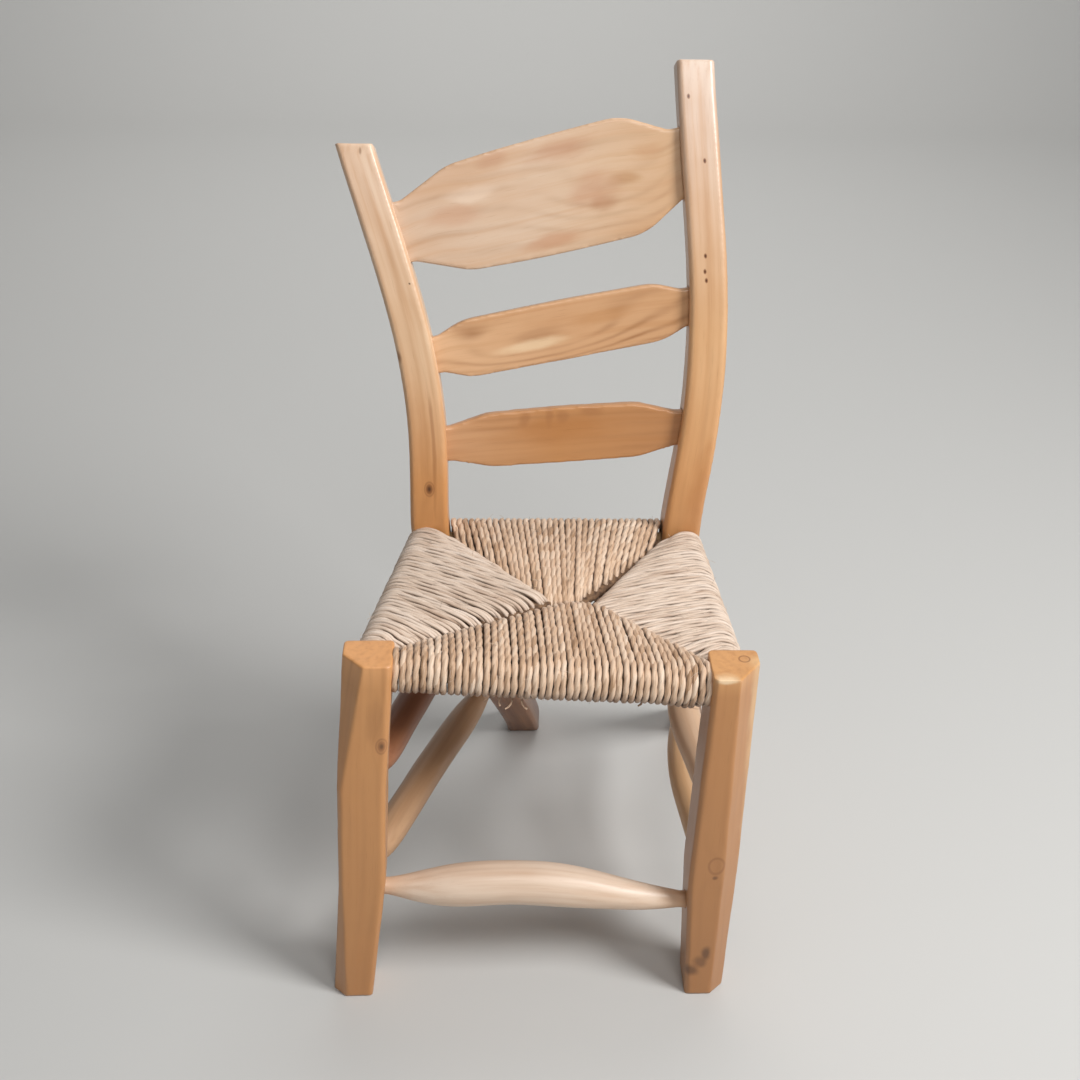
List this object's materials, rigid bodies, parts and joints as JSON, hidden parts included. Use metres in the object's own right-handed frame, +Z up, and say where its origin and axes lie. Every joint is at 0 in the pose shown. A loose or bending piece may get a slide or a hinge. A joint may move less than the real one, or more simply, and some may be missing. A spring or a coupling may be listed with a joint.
{
  "type": "ladderback chair",
  "caption": "Small rustic ladderback chair: hewn front legs, bent rear posts, back slats, round stretchers and a rush seat wound in four fields.",
  "frame": {"origin": "middle of the chair's box on the floor", "axes": "+Z up, front faces -Y, +X to the right as seen from in front"},
  "size_m": [0.4318, 0.5002, 0.849],
  "materials": {
    "varnished_wood": "honey-coloured varnished hardwood, hand-hewn",
    "pale_wood": "pale peeled and scraped wood, thinly varnished",
    "raw_wood": "plain unfinished wood, hidden in the rush",
    "rush_cord": "twisted rush cord, straw coloured",
    "rush_stuffing": "packed rush scraps"
  },
  "bodies": {
    "root": {"front_leg_left": "varnished_wood", "front_leg_right": "varnished_wood", "back_post_left": "varnished_wood", "back_post_right": "varnished_wood", "front_seat_rail": "raw_wood", "back_seat_rail": "raw_wood", "left_seat_rail": "raw_wood", "right_seat_rail": "raw_wood", "front_stretcher": "pale_wood", "lower_left_stretcher": "pale_wood", "lower_right_stretcher": "pale_wood", "upper_left_stretcher": "pale_wood", "upper_right_stretcher": "pale_wood", "back_stretcher": "pale_wood", "top_slat": "varnished_wood", "middle_slat": "varnished_wood", "bottom_slat": "varnished_wood", "rush_front_winding": "rush_cord", "rush_front_stuffing": "rush_stuffing", "rush_back_winding": "rush_cord", "rush_back_stuffing": "rush_stuffing", "rush_left_winding": "rush_cord", "rush_left_stuffing": "rush_stuffing", "rush_right_winding": "rush_cord", "rush_right_stuffing": "rush_stuffing"}
  },
  "joints": []
}
